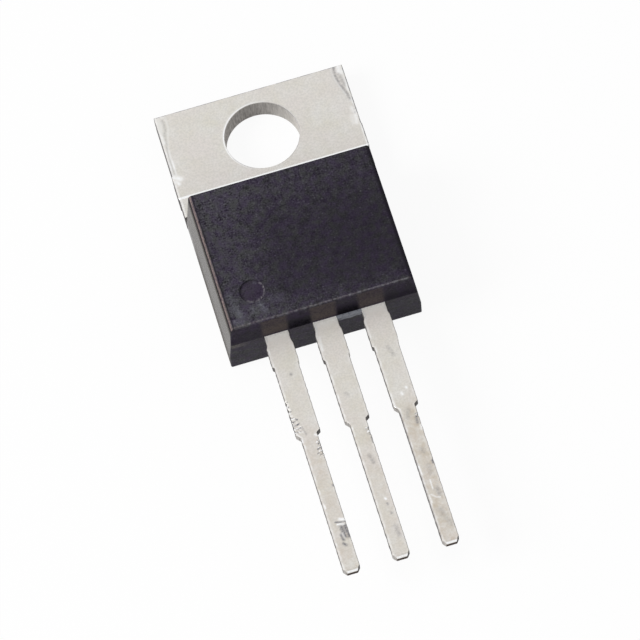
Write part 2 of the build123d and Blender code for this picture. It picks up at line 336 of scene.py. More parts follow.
# A painted highlight: a thin bright line across the tab, a little above the body.
along_tab = add(tree, "SeparateXYZ", links={0: place}, output=1)
from_highlight_line = add(tree, "Math", {"operation": "SUBTRACT", 1: highlight_line_y * MM}, {0: along_tab})
from_highlight_line = add(tree, "Math", {"operation": "ABSOLUTE"}, {0: from_highlight_line})
line = add(tree, "MapRange", {"From Min": 0.085 * MM, "From Max": 0.04 * MM, "To Max": 0.9},
           {"Value": from_highlight_line})
uneven = add(tree, "MapRange",
             {"From Min": 0.3, "From Max": 0.7, "To Min": 0.65, "To Max": 1.35}, {"Value": grain})
# Painted light on the leads next to the body goes on first; dark and bright also carry painted shade and
# highlights.
for mark, code in (("painted_exit_light", "#fbf9f4"), ("dark", "#6c6b72"), ("bright", "#f8f9fa")):
    painted = add(tree, "Attribute", {"attribute_name": mark}, output="Fac")
    share = add(tree, "Math", {"operation": "MULTIPLY", "use_clamp": True}, {0: painted, 1: uneven})
    if mark == "bright":
        share = add(tree, "Math", {"operation": "MAXIMUM"}, {0: share, 1: line})
    colour = add(tree, "Mix", {"data_type": "RGBA", 7: linear(code)}, {0: share, 6: colour}, output=2)
roughness = add(tree, "MapRange", {"To Min": 0.38, "To Max": 0.56}, {"Value": grain})
roughness = add(tree, "Math", {"operation": "MULTIPLY_ADD", 1: -0.16}, {0: share, 2: roughness})
metallic = add(tree, "MapRange", {"To Min": 0.2, "To Max": 0.9}, {"Value": share})
close_finish(tree, grain, {}, {"Base Color": colour, "Metallic": metallic, "Roughness": roughness},
             strength=0.3, depth=0.006)

# Where the punch and the shears broke the strip: torn copper, thinly tinned, dull and streaked
# along the cut. The leads' tips were cropped after plating and show brown copper.
sheared_edge, tree = new_finish("sheared_copper_edge")
place = add(tree, "TexCoord", output="Object")
along_cut = add(tree, "Mapping", {3: (1.0, 1.0, 0.18)}, {0: place})
drag = add(tree, "TexNoise", {"Scale": 1 / (0.075 * MM), "Detail": 3.0}, {"Vector": along_cut})
streaky = add(tree, "MapRange", {"From Min": 0.3, "From Max": 0.7}, {"Value": drag})
colour = add(tree, "Mix", {"data_type": "RGBA", 6: linear("#9f9b97"), 7: linear("#d8d4d0")},
             {0: streaky}, output=2)
# On the walls the dark mark is painted shade and the bright mark painted light; the bare mark is the
# tips' copper.
for mark, code in (("bright", "#e6e2db"), ("dark", "#4f4c4c"), ("bare", "#463a34")):
    painted = add(tree, "Attribute", {"attribute_name": mark}, output="Fac")
    colour = add(tree, "Mix", {"data_type": "RGBA", 7: linear(code)}, {0: painted, 6: colour}, output=2)
roughness = add(tree, "MapRange", {"To Min": 0.75, "To Max": 1.0}, {"Value": drag})
close_finish(tree, drag, {"Metallic": 0.15}, {"Base Color": colour, "Roughness": roughness},
             strength=0.4, depth=0.012)


def put_in_scene(name, data):
    """A new object for a mesh, lamp or camera."""
    made = bpy.data.objects.new(name, data)
    bpy.context.scene.collection.objects.link(made)
    return made


def make_piece(name, shells, marks, finishes, node):
    """One object from closed shells of points and quads, with its painted marks; its CAD node is hidden.

    Faces marked as cut take the second finish.
    """
    starts = np.cumsum([0] + [len(points) for points, _ in shells[:-1]])
    points = np.concatenate([points for points, _ in shells]) * MM
    quads = np.concatenate([quads + start for (_, quads), start in zip(shells, starts)])
    mesh = bpy.data.meshes.new(name)
    mesh.from_pydata(points.tolist(), [], quads.tolist())
    mesh.shade_smooth()
    mesh.set_sharp_from_angle(angle=np.radians(38))
    for mark in marks[0]:
        values = np.concatenate([painted[mark] for painted in marks]).astype(np.float32)
        mesh.attributes.new(mark, "FLOAT", "POINT").data.foreach_set("value", values)
        if mark == "cut":
            cut_faces = values[quads].mean(axis=1) > 0.5
            mesh.polygons.foreach_set("material_index", cut_faces.astype(np.int32))
    for finish in finishes:
        mesh.materials.append(finish)
    piece = put_in_scene(name, mesh)
    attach(piece, "root")
    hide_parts(node)


# -------------------- leads
# Three flat strips of tinned copper, stamped in one frame. The outer two, gate and source, end
# inside the plastic in a bonding post; the drain between them bends down to the pad, which it
# is one piece with. Cutting the frame's dambar left a stub on each side, and pliers left teeth.

lead_front = tab_points[:, 2].max()
flash_length = 0.17
body_end = body_low[1] + flash_length
lead_length = body_end - tab_points[:, 1].min()
lead_pitch = 2.54
lead_thickness = 0.45
lead_wide = 1.26
lead_narrow = 0.87
lead_edge_radius = 0.035
shoulder_from_body = 5.83
shoulder_slopes = (0.22, 0.14)
stub_start = 0.55
stub_ramp = 0.22
stub_proud = (0.075, 0.055)
tip_chamfer = (0.15, 0.21)
tip_coin_length = 0.14
tip_coin_depth = 0.17
post_from_body_end = 0.72
neck_run = 0.30
neck_rise_run = 1.20
neck_bend_radius = 0.30
neck_buried = 0.10               # how far the neck's end runs into the pad
edge_waver = 0.007               # the punch leaves edges that wander by this much
groove_depth = 0.03              # of a plier tooth, pressed into the front
lead_step = 0.045
tip_step = 0.03


def box_skin(u, v, w):
    """The outside of a block of grid lines along X, Y and Z: its points, and quads facing out."""
    shape = (len(u), len(v), len(w))
    i, j, k = np.indices(shape)
    outer = ((i % (shape[0] - 1)) * (j % (shape[1] - 1)) * (k % (shape[2] - 1))) == 0
    index = np.full(shape, -1)
    index[outer] = np.arange(outer.sum())
    quads = []
    for axis in range(3):
        for end in (0, -1):
            sheet = index.take(end, axis=axis)
            face = np.stack([sheet[:-1, :-1], sheet[1:, :-1], sheet[1:, 1:], sheet[:-1, 1:]], -1)
            inward = (end == 0) == (axis != 1)
            quads.append(face.reshape(-1, 4)[:, ::-1 if inward else 1])
    return np.column_stack([u[i[outer]], v[j[outer]], w[k[outer]]]), np.concatenate(quads)


def edge_rounding(from_low, from_high, radius):
    """How far points near a block's edges move to round them, from their distances to its faces.

    A point's overhang past the block drawn in by the radius keeps its longest part as its whole
    length, so what stood out square falls on a cylinder or a ball.
    """
    overhang = np.maximum(radius - from_high, 0) - np.maximum(radius - from_low, 0)
    longest = np.abs(overhang).max(axis=1)
    length = np.linalg.norm(overhang, axis=1)
    factor = np.divide(longest, length, out=np.ones_like(length), where=length > 0)
    return overhang * (factor - 1)[:, None]


def half_width(d, side, stub_end):
    """Half width of a lead d past the body, on its left (0) or right (1): stub, shoulder, tip."""
    wide, narrow, proud = lead_wide / 2, lead_narrow / 2, stub_proud[side]
    corners = [
        (stub_start, wide), (stub_start + stub_ramp, wide + proud), (stub_end, wide + proud),
        (stub_end + proud, wide), (shoulder_from_body, wide),
        (shoulder_from_body + shoulder_slopes[side], narrow),
        (lead_length - tip_chamfer[1], narrow), (lead_length, narrow - tip_chamfer[0])]
    return np.interp(d, *np.transpose(corners))


def tooth_wave(d, first, last, pitch):
    """A row of plier teeth along the lead: 1 within the row, easing in and out at its ends, and a
    cosine that rises from 0 to 1 and falls back once in each pitch."""
    row = clamp((d - first) / 0.1) * clamp((last - d) / 0.1)
    return row, 0.5 - 0.5 * np.cos(2 * np.pi * (d - first) / pitch)


def lead_skin(centre, stub_end, inner, post, teeth, seed):
    """One lead: grid lines across, along and through the strip, then its own shape.

    d is the distance past the body along the lead, from inner (negative) to the tip. post is
    the bonding post's range in x, or None. Returns each point's place across from the centre
    line, along the lead and up from its back, the quads, and at each point the distance to the
    nearer side and the height of the front.
    """
    r = lead_edge_radius
    near = r * np.array([0, 0.3, 0.65])
    across = np.concatenate([near, np.linspace(r, 1 - r, 24), 1 - near[::-1]])
    through = np.concatenate([near, np.linspace(r, lead_thickness - r, 5),
                              lead_thickness - near[::-1]])
    corners = [stub_start, stub_start + stub_ramp, stub_end, stub_end + 0.06, shoulder_from_body]
    tip_start = lead_length - 0.3
    steps = [np.arange(0, tip_start, lead_step), np.arange(tip_start, lead_length - r, tip_step),
             np.linspace(inner, -0.1, 30), corners, inner + near, lead_length - near]
    if post:
        steps.append([-post_from_body_end - 0.01, -post_from_body_end + 0.01])
    along = np.unique(np.round(np.concatenate(steps), 4))
    points, quads = box_skin(across, along, through)
    share, d, height = points.T

    left = half_width(d, 0, stub_end) + edge_waver * ripple(d, 0.45, seed)
    right = half_width(d, 1, stub_end) + edge_waver * ripple(d, 0.45, seed + 1)
    for side, first, last, pitch, _, depth in teeth:
        row, wave = tooth_wave(d, first, last, pitch)
        notch = depth * row * wave ** 2
        left, right = (left - notch, right) if side < 0 else (left, right - notch)
    if post:
        inside = clamp((-post_from_body_end + 0.01 - d) / 0.02)
        left += inside * (centre - post[0] - left)
        right += inside * (post[1] - centre - right)
    at_edges = np.minimum(share, r) + np.maximum(share - 1 + r, 0)
    x = at_edges - left + clamp((share - r) / (1 - 2 * r)) * (left + right - 2 * r)
    coin = tip_coin_depth * clamp(1 - (lead_length - d) / tip_coin_length)
    top = lead_thickness - coin
    z = height - coin * clamp((height - r) / (lead_thickness - 2 * r))
    low = np.column_stack([x + left, d - inner, z])
    high = np.column_stack([right - x, lead_length - d, top - z])
    move = edge_rounding(low, high, r)
    sides = np.minimum(low[:, 0], high[:, 0])
    x, d, z = x + move[:, 0], d + move[:, 1], z + move[:, 2]
    for side, first, last, pitch, reach, _ in teeth:
        from_edge = x + left if side < 0 else right - x
        row, wave = tooth_wave(d, first, last, pitch)
        row *= clamp((np.interp(d, [first, last], reach) - from_edge) / 0.08) * (z > top - 0.03)
        z -= groove_depth * row * wave
    return (x, d, z), quads, sides, top


def neck_route():
    """The drain lead's line inside the plastic, from the body's end in to the pad.

    Its heading turns down and back again at an even rate round two bends, and the points are the
    running sum of the heading. Returns distances along it, and y, z and heading there.
    """
    rise = lead_front - tab_thickness
    turn = np.arctan2(rise, neck_rise_run)
    bend = neck_bend_radius + lead_thickness / 2
    tangent = bend * np.tan(turn / 2)
    shift = lead_thickness / 2 * np.tan(turn / 2)
    y_high = pad_end - neck_run - neck_rise_run - shift
    straights = [y_high - body_end - tangent, np.hypot(rise, neck_rise_run) - 2 * tangent,
                 neck_run + shift + neck_buried - tangent]
    knots = np.cumsum([0, straights[0], bend * turn, straights[1], bend * turn, straights[2]])
    distance = np.linspace(0, knots[-1], 400)
    heading = np.interp(distance, knots, [0, 0, turn, turn, 0, 0])
    step = distance[1]
    y = body_end + np.cumsum(np.cos(heading)) * step - step
    z = lead_front - lead_thickness / 2 - np.cumsum(np.sin(heading)) * step
    return distance, y, z, heading


def lay_lead(centre, local, route=None):
    """A lead's points put in place: straight out of the body, or inside it along the neck."""
    x, d, z = local
    y = body_end - d
    height = lead_front - lead_thickness + z
    if route is not None:
        distance, route_y, route_z, heading = route
        s = np.maximum(-d, 0)
        turned = np.interp(s, distance, heading)
        off = z - lead_thickness / 2
        y = np.where(d < 0, np.interp(s, distance, route_y) + off * np.sin(turned), y)
        height = np.where(d < 0, np.interp(s, distance, route_z) + off * np.cos(turned), height)
    return np.column_stack([centre + x, y, height])


# Each lead's rubs and knocks: lines of (across, distance past the body), width and strength.
# Teeth are side, first and last distance, pitch, reach in from the edge at both, and notch depth.
leads = {
    "gate": dict(
        stub_end=1.80, seed=11, stained=0.25,
        teeth=[(-1, 4.70, 5.80, 0.20, (0.18, 0.40), 0.030), (1, 6.42, 7.42, 0.21, (0.12, 0.26), 0.035),
               (-1, 3.78, 4.62, 0.43, (0.10, 0.10), 0.035)],
        bright=[([(0.18, 10.96), (0.40, 11.02)], 0.08, 1.0),
                ([(-0.02, 11.20), (0.14, 11.22), (0.30, 11.28)], 0.04, 1.0),
                ([(-0.34, 10.00), (-0.33, 10.18)], 0.05, 1.0),
                ([(0.30, 6.08), (0.40, 6.16)], 0.05, 0.9),
                ([(0.10, 11.75), (0.14, 12.0)], 0.05, 0.4),
                ([(-0.40, 6.15), (-0.38, 6.35)], 0.04, 0.8)],
        dark=[([(-0.06, 11.06), (0.14, 11.12)], 0.05, 0.85), ([(0.14, 11.12), (0.40, 11.14)], 0.04, 0.95),
              ([(0.14, 11.38), (0.20, 11.95)], 0.10, 0.85), ([(0.33, 11.36), (0.38, 11.98)], 0.10, 0.85),
              ([(0.02, 11.80), (0.06, 12.10)], 0.07, 0.80),
              ([(0.00, 12.30), (0.10, 12.42)], 0.07, 0.95), ([(0.08, 2.46), (0.09, 2.47)], 0.07, 0.70),
              ([(0.38, 9.05), (0.41, 9.10)], 0.06, 0.7), ([(-0.20, 5.55), (-0.10, 5.95)], 0.05, 0.35)]),
    "drain": dict(
        stub_end=2.20, seed=23, stained=0.16,
        teeth=[(1, 6.50, 6.95, 0.23, (0.14, 0.14), 0.045)],
        bright=[([(0.10, 10.55), (0.13, 10.60)], 0.06, 1.0), ([(-0.52, 0.9), (-0.56, 1.7)], 0.05, 0.5)],
        dark=[([(0.12, 10.86), (0.13, 10.90)], 0.06, 0.6), ([(0.17, 11.39), (0.18, 11.44)], 0.06, 0.5),
              ([(0.02, 8.05), (0.12, 8.50)], 0.11, 0.30), ([(0.16, 12.2), (0.22, 12.7)], 0.12, 0.30),
              ([(0.36, 6.56), (0.40, 6.92)], 0.05, 0.9), ([(0.39, 7.10), (0.40, 7.40)], 0.04, 0.7),
              ([(-0.15, 4.35), (-0.05, 4.5)], 0.08, 0.25)]),
    "source": dict(
        stub_end=2.25, seed=37, stained=0.50,
        teeth=[(1, 6.50, 6.75, 0.25, (0.12, 0.12), 0.05)],
        bright=[([(0.28, 4.95), (0.30, 5.00)], 0.06, 0.9), ([(-0.03, 5.20), (0.0, 5.30)], 0.06, 0.9),
                ([(-0.04, 10.27), (-0.05, 10.78)], 0.035, 0.8),
                ([(-0.22, 11.06), (0.0, 11.28), (0.18, 11.34)], 0.035, 0.7),
                ([(0.35, 6.58), (0.42, 6.64)], 0.05, 1.0), ([(0.40, 7.22), (0.36, 7.45)], 0.05, 0.8),
                ([(-0.36, 9.40), (-0.34, 9.90)], 0.045, 0.9), ([(-0.33, 11.1), (-0.30, 11.5)], 0.05, 0.7),
                ([(-0.56, 5.50), (-0.55, 5.90)], 0.05, 0.8)],
        dark=[([(0.30, 6.76), (0.28, 7.05)], 0.09, 0.6), ([(0.39, 9.28), (0.40, 9.42)], 0.07, 1.0),
              ([(0.02, 6.2), (-0.1, 6.6)], 0.14, 0.25), ([(0.12, 9.5), (0.10, 9.9)], 0.15, 0.18),
              ([(0.16, 10.85), (0.20, 11.15)], 0.13, 0.36), ([(-0.02, 12.0), (0.05, 12.3)], 0.16, 0.24),
              ([(0.16, 12.6), (0.30, 12.9)], 0.16, 0.22), ([(0.05, 8.50), (0.10, 8.70)], 0.12, 0.26),
              # The first line here, down the left edge, is painted shade.
              ([(-0.41, 6.20), (-0.41, 13.4)], 0.03, 0.55), ([(0.05, 2.5), (0.20, 3.0)], 0.10, 0.25)]),
}


def lead_shell(kind, centre, inner, post=None, route=None):
    """A lead's finished shell and its painted marks. The lead runs down the Y axis, which turns
    its quads round, so their corners are taken in reverse."""
    made = leads[kind]
    stub_end, teeth, seed = made["stub_end"], made["teeth"], made["seed"]
    local, quads, sides, top = lead_skin(centre, stub_end, inner, post, teeth, seed)
    x, d, z = local
    front = clamp((z - top + 0.02) / 0.015)
    painted = {mark: front * strokes(x, d, made[mark]) for mark in ("bright", "dark")}
    for side, first, last, pitch, reach, _ in teeth:
        limit = np.interp(d, [first, last], reach) * (1 + 0.4 * ripple(d, 0.3, seed + 6))
        bitten = (d > first) & (d < last) & ((x > 0) == (side > 0)) & (sides < limit)
        torn = 3 * ripple(d + 0.3 * x, 0.8 * pitch, seed + 7) + 2.1 * ripple(x - d, 0.6 * pitch, seed + 8)
        for mark, way in (("bright", 1), ("dark", -1)):
            painted[mark] = np.maximum(painted[mark], bitten * front * clamp(way * torn - 0.3))
    # Painted highlights: a line just inside each edge, weaker on the right, and the lower part of the
    # coined tip.
    rim = band(sides - 0.08, glint_width) * (0.45 + 0.35 * ripple(d, 0.6, seed + 5))
    rim *= (1 - painted["dark"]) * np.where(x < 0, 1, 0.4)
    painted_tip_highlight = smooth((0.085 - lead_length + d) / 0.03) * smooth((x + 0.27) / 0.05)
    painted["bright"] = np.maximum.reduce([painted["bright"], rim * front, painted_tip_highlight * front])
    # Painted light on the leads next to the body, where the body's shade falls.
    painted["painted_exit_light"] = 0.9 * front * band(np.maximum(d - 0.05, 0), 0.30)
    wall = clamp((0.022 - sides) / 0.012)
    tip = clamp((0.012 - (lead_length - d)) / 0.01) * (z < top - 0.03)
    painted["cut"] = np.maximum(wall, tip)
    # The walls are painted dark as shade, lightly at the left shoulder and left of the tip, and painted
    # light at the right stub's end.
    lit_left = (np.abs(d - shoulder_from_body - 0.11) < 0.18) | (d > lead_length - tip_chamfer[1])
    lit = np.where(x < 0, lit_left, np.abs(d - stub_end - 0.03) < 0.12)
    painted["dark"] = np.maximum(painted["dark"], np.where(lit, 0.3 * (x < 0), 0.9) * wall)
    painted["bright"] = np.maximum(painted["bright"], lit * (x > 0) * wall)
    painted["bare"] = 1.2 * tip
    painted["stained"] = made["stained"] * smooth((d - 5.0) / 1.8) + 0.12
    return (lay_lead(centre, local, route), quads[:, ::-1]), painted


route = neck_route()
drain_shell, drain_marks = lead_shell("drain", 0.0, -route[0][-1], route=route)
make_piece("tinned_tab_and_drain_lead", [plate_shell, drain_shell], [plate_marks, drain_marks],
           [tin, sheared_edge], "heat_sink_tab")

for kind, side in (("gate", -1), ("source", 1)):
    node = f"{kind}_lead"
    cad_points = node_points(node)
    post_range = (cad_points[:, 0].min(), cad_points[:, 0].max())
    post_end = body_end - cad_points[:, 1].max()
    shell, painted = lead_shell(kind, side * lead_pitch, post_end, post=post_range)
    make_piece(f"tinned_{node}", [shell], [painted], [tin, sheared_edge], node)


# -------------------- chip, solder and bond wires
# Sealed inside the plastic: a silicon chip with an aluminium top, soldered to the pad, a thin
# wire to its gate and three thick ones to its source, all ultrasonically bonded aluminium.

hidden_finishes = {
    "silicon_with_aluminium_top": ("#8d9197", "#b6b8ba", 0.9, 0.25, 0.05, ["mosfet_die"]),
    "soft_solder": ("#8e8c8a", "#aeadab", 0.9, 0.45, 0.12, ["die_attach_solder"]),
    "drawn_aluminium_wire": ("#c3c5c7", "#dcdddd", 1.0, 0.30, 0.04,
                             ["gate_bond_wire"] + [f"source_bond_wire_{n}" for n in (1, 2, 3)]),
}
for name, (dull, clean, metal, gloss, size, nodes) in hidden_finishes.items():
    finish, tree = new_finish(name)
    place = add(tree, "TexCoord", output="Object")
    pattern = add(tree, "TexNoise", {"Scale": 1 / (size * MM), "Detail": 3.0}, {"Vector": place})
    colour = add(tree, "Mix", {"data_type": "RGBA", 6: linear(dull), 7: linear(clean)},
                 {0: pattern}, output=2)
    roughness = add(tree, "MapRange", {"To Min": gloss, "To Max": gloss + 0.15}, {"Value": pattern})
    close_finish(tree, pattern, {"Metallic": metal}, {"Base Color": colour, "Roughness": roughness},
                 strength=0.2, depth=0.002)
    for node in nodes:
        frame["nodes"][node].data.materials.clear()
        frame["nodes"][node].data.materials.append(finish)


# -------------------- moulded body
# Black epoxy with a glass and silica filler, transfer moulded round the pad and the leads' inner
# ends. The mould parts at the leads' front, its sides have draft, and its long front edges are
# bevelled. It came out with ears in the tab's notches and a web of flash beside the drain lead.

body_front = body_high[2]
body_back = body_low[2]
body_half = body_high[0]
side_draft, tab_end_draft, front_end_draft, back_end_draft = np.radians([4.6, 8.3, 1.8, 7.2])
side_bevel = 0.20
end_bevel = 0.06
corner_radius = 0.08
bevel_blend = 0.03
mark_radius = 0.66
mark_depth = 0.09
mark_centre = (-body_half + 1.92, body_end + 1.84)
foot_height = 0.03               # chamfer round the back, half as wide as it is high
chip_depth = 0.03
# Painted reflection of the white table on the left wall, this strong.
wall_reflection = 0.54
ear_lap = 0.05
flash_thickness = 0.28
web_lap = 0.03                   # how far the flash laps onto the leads beside it


def grid_lines(low, high, near, step, special=()):
    """Grid lines from low to high: set distances in from both ends, special places, and even steps
    between, without the even lines that fall close to a special one."""
    near, special = np.asarray(near), np.asarray(special)
    even = np.linspace(low + near[-1], high - near[-1], round((high - low) / step))
    if len(special):
        even = even[np.abs(even[:, None] - special).min(axis=1) > 0.4 * step]
    return np.unique(np.round(np.concatenate([low + near, high - near, even, special]), 5))


def soft_least(a, b, blend):
    """The lower of two heights, with the corner between them rounded over blend."""
    return np.minimum(a, b) - np.maximum(blend - np.abs(a - b), 0) ** 2 / (4 * blend)


z_bevel = body_front - side_bevel
front_half = body_half - (body_front - tab_thickness) * np.tan(side_draft)
y_front_top = mould_line - (body_front - tab_thickness) * np.tan(tab_end_draft)
y_front_end = body_end + (body_front - lead_front) * np.tan(front_end_draft)


def body_sides(z):
    """Half width, tab-end y and lead-end y of the body's walls at height z. The sides and the tab
    end lean in above the tab's front, the lead end both ways from the parting line."""
    foot = 0.5 * np.maximum(foot_height - (z - body_back), 0)
    rise = clamp((z - tab_thickness) / (z_bevel - tab_thickness))
    half = body_half - rise * (body_half - front_half) - foot
    top = mould_line - np.maximum(z - tab_thickness, 0) * np.tan(tab_end_draft) - foot
    draft = np.where(z > lead_front, front_end_draft, back_end_draft)
    return half, top, body_end + np.abs(z - lead_front) * np.tan(draft) + foot


def body_shell(step):
    """The body's outside. Walls follow the drafts level by level, and the front is the lowest of
    several blended planes: the flat face, two side bevels, and each end's wall and bevel. Round
    the pin mark the grid's squares turn into circles, so that the recess has a true round wall."""
    ring = mark_radius + np.array([-0.055, -0.036, -0.024, -0.012, 0, 0.012, 0.04])
    ring = np.concatenate([ring, -ring])
    _, plan_top, plan_end = body_sides(np.array(z_bevel))
    u = grid_lines(-front_half, front_half, [0, 0.02, 0.04, 0.06, 0.08, 0.12, 0.16, 0.19, 0.215, 0.25],
                   step, mark_centre[0] + ring)
    v = grid_lines(plan_end, plan_top, [0, 0.005, 0.015, 0.03, 0.05, 0.065, 0.08, 0.10, 0.14],
                   step, mark_centre[1] + ring)
    w = grid_lines(body_back, z_bevel, [0, foot_height], 0.13,
                   [tab_thickness - 0.02, tab_thickness, tab_thickness + 0.02,
                    lead_front - 0.03, lead_front, lead_front + 0.03])
    points, quads = box_skin(u, v, w)
    u, v, z = points.T.copy()

    dx, dy = u - mark_centre[0], v - mark_centre[1]
    square = np.maximum(np.abs(dx), np.abs(dy))
    length = np.hypot(dx, dy)
    round_share = np.divide(square, length, out=np.ones_like(length), where=length > 0) - 1
    on_face = z > z_bevel - 1e-4
    round_share *= on_face * (1 - smooth((square - mark_radius - 0.05) / 0.45))
    u, v = u + dx * round_share, v + dy * round_share

    half, top, end = body_sides(z)
    x = u / front_half * half
    y = end + (v - plan_end) / (plan_top - plan_end) * (top - end)
    planes = [z_bevel + front_half - np.abs(x),
              z_bevel + (plan_top - y) / np.tan(tab_end_draft),
              body_front - end_bevel + (y_front_top - y),
              z_bevel + (y - plan_end) / np.tan(front_end_draft),
              body_front - end_bevel + (y - y_front_end)]
    face = np.full(len(z), body_front)
    for plane in planes:
        face = soft_least(face, plane, bevel_blend)
    from_mark = np.hypot(x - mark_centre[0], y - mark_centre[1])
    face -= mark_depth * smooth((mark_radius - from_mark) / 0.036)
    from_edges = np.minimum(front_half - np.abs(x), y - plan_end)
    chips = clamp(ripple(x + 0.4 * y, 0.35, 5) * ripple(x - y, 0.22, 6) - 0.25)
    face -= chip_depth * chips * band(from_edges - 0.07, 0.06)
    z = np.where(on_face, np.maximum(face, z_bevel), z)
    plenty = np.full(len(z), 1.0)
    low = np.column_stack([x + half, y - end, plenty])
    high = np.column_stack([half - x, top - y, plenty])
    move = edge_rounding(low, high, corner_radius)
    return np.column_stack([x + move[:, 0], y + move[:, 1], z]), quads


def small_block(low, high, radius, step):
    """A block with rounded edges between two corners."""
    near = radius * np.array([0, 0.3, 0.65, 1])
    points, quads = box_skin(*[grid_lines(a, b, near, step) for a, b in zip(low, high)])
    return points + edge_rounding(points - low, high - points, radius), quads


shells = [body_shell(step=0.085)]
notch_x = tab_half - notch_depth
for side in (-1, 1):
    near, far = sorted((side * notch_x, side * body_half))
    shells.append(small_block(np.array([near, mould_line - ear_lap, body_back]),
                              np.array([far, body_high[1], tab_thickness]), radius=0.02, step=0.06))
web_left = lead_wide / 2 - web_lap
web_right = lead_pitch - lead_wide / 2 + web_lap
web, web_quads = small_block(
    np.array([web_left, body_end - flash_length, lead_front - flash_thickness]),
    np.array([web_right, body_end + 0.08, lead_front]), radius=0.03, step=0.05)
web[:, 1] += 0.02 * ripple(web[:, 0], 0.5, 8) * (web[:, 1] < body_end - 0.05)
shells.append((web, web_quads))

# Dust on the front by the pin mark: lines of (x, y), width and strength.
dusty_places = [
    ([(-4.25, -11.05), (-4.05, -11.60)], 0.20, 0.20), ([(-4.40, -11.85), (-4.10, -12.0)], 0.18, 0.16),
    ([(-2.95, -11.25), (-2.80, -11.65)], 0.15, 0.24), ([(-3.40, -11.35), (-3.30, -11.60)], 0.14, 0.15),
    ([(-4.35, -10.35), (-4.20, -10.75)], 0.20, 0.13), ([(-2.3, -11.1), (-1.9, -11.2)], 0.20, 0.10),
    ([(-2.93, -9.90), (-2.83, -9.97)], 0.06, 0.16),
]

# Marks on the body: the front lighter towards its left and its ends; dust, scuffs and painted
# highlights on it; painted reflections of the leads above them and of the table on the left wall
# and the lower facets; painted shade along edges, round the leads and on the left wall.
x, y, z = np.concatenate([points for points, _ in shells]).T
on_web = np.arange(len(x)) >= len(x) - len(web)
on_end = y < y_front_end
above_leads, below_leads = z > lead_front, z < lead_front
from_sides = front_half - np.abs(x)
facing = smooth((z - body_front + mark_depth + 0.05) / 0.04) * (from_sides > 0.5 * side_bevel)
# The middle of each side bevel: a painted highlight on the left, painted shade on the right; painted
# shade lines run along the left bevel's sides.
bevel_line = band(from_sides - 0.45 * side_bevel, 0.04) * (z > z_bevel + 0.01)
bevel_side_shade = np.minimum(np.abs(from_sides), np.abs(from_sides - side_bevel))
bevel_side_shade = band(bevel_side_shade, 0.03) * (z > z_bevel - 0.03)
end_edge = band(y - y_front_end - 0.05, glint_width) * (z > z_bevel + 0.1)
# Painted shade in a thin line along the front's edge at the tab end.
tab_edge_shade = band(y_front_top - y - 0.01, 0.035) * facing
from_mark = np.hypot(x - mark_centre[0], y - mark_centre[1])
round_mark = np.arctan2(y - mark_centre[1], x - mark_centre[0])
# The pin mark's recess: a painted highlight on its lower right rim and painted shade on its upper left
# rim.
mark_highlight = band(from_mark - mark_radius + 0.045, 0.03) * (z > z_bevel)
mark_highlight *= smooth(0.5 + np.cos(round_mark + np.radians(50)))
mark_shade = band(from_mark - mark_radius, 0.03) * (z > z_bevel)
mark_shade *= smooth(0.7 + np.cos(round_mark - np.radians(140)))
mark_wear = ripple(x + 2 * y, 0.25, 4)
# The front is made lighter towards its left, its tab end and its lead end.
lightening = (0.28 + 0.65 * smooth((-0.8 - x) / 3.2) - 0.14 * smooth(x / 3)
        + 0.5 * band(y_front_top - y, 2.3) + np.where(x < 0, 0.5, 0.32) * band(y - y_front_end, 0.9))
# A painted reflection of each lead on the facet above it.
from_leads = np.min([np.abs(x - lead_x) for lead_x in (-lead_pitch, 0, lead_pitch - 0.05)], axis=0)
lead_reflection = smooth((0.78 - from_leads) / 0.22)
shade_above = (1 - lead_reflection) * smooth((4.2 - z) / 1.1) * above_leads
shade_above *= np.where(np.abs(x) < 2, 0.85, np.where(x < 0, 0.2, 0.5))
shade_below = smooth((2.5 + 0.5 * smooth(x - 1.5) - z) / 1.2) * smooth((x + 4.8) / 1.5) * below_leads
# Painted light on the lower facets, strongest at the left end and fading out towards the table.
end_facet_light = (0.06 + 0.40 * smooth((-3.9 - x) / 0.8)) * smooth((z - 0.2) / 1.0) * below_leads
left_wall = (x < -front_half - 0.005) & (y > body_sides(z)[2] + 0.5 * corner_radius)
wall_shade = np.maximum(0.75 * smooth((z - 3.7) / 0.35),
                        0.6 * smooth((1.9 - z) / 1.4) * smooth((-4.6 - y) / 1.5))
upper_facet = (z > lead_front + 0.05) * (y < y_front_end + 0.02) * (z < body_front - 0.07)
lead_reflection *= upper_facet * (0.85 + 0.15 * ripple(z, 0.8, 9)) * (1 - 0.2 * smooth(x / 2.5))
body_marks = {
    "lightening": lightening * facing + 0.4 * (1 - facing),
    "scuff_and_highlight": np.maximum.reduce([bevel_line * (x < 0) * (0.85 + 0.15 * ripple(y, 0.9, 2)),
                                0.15 * end_edge, mark_highlight * clamp(0.15 + 0.3 * mark_wear)]),
    "crease_and_painted_shade": np.maximum.reduce([np.where(x < 0, 0.75 * bevel_side_shade, 0.6 * bevel_line), 0.8 * tab_edge_shade,
                                 0.1 * mark_shade, on_end * np.maximum(shade_above, shade_below),
                                 left_wall * wall_shade]),
    "painted_reflection": np.maximum(wall_reflection * left_wall, end_facet_light * on_end),
    "lead_reflection": lead_reflection,
    "pale": np.maximum.reduce([1.0 * on_web, facing * strokes(x, y, dusty_places),
                               mark_highlight * clamp(0.28 + 0.6 * mark_wear),
                               0.42 * end_edge * clamp(0.5 + 0.06 * x + 0.6 * ripple(x, 0.35, 3))]),
    "mark": np.maximum(smooth((mark_radius - from_mark) / 0.04) * (z > z_bevel),
                       0.6 * (1 - facing) * on_end),
}

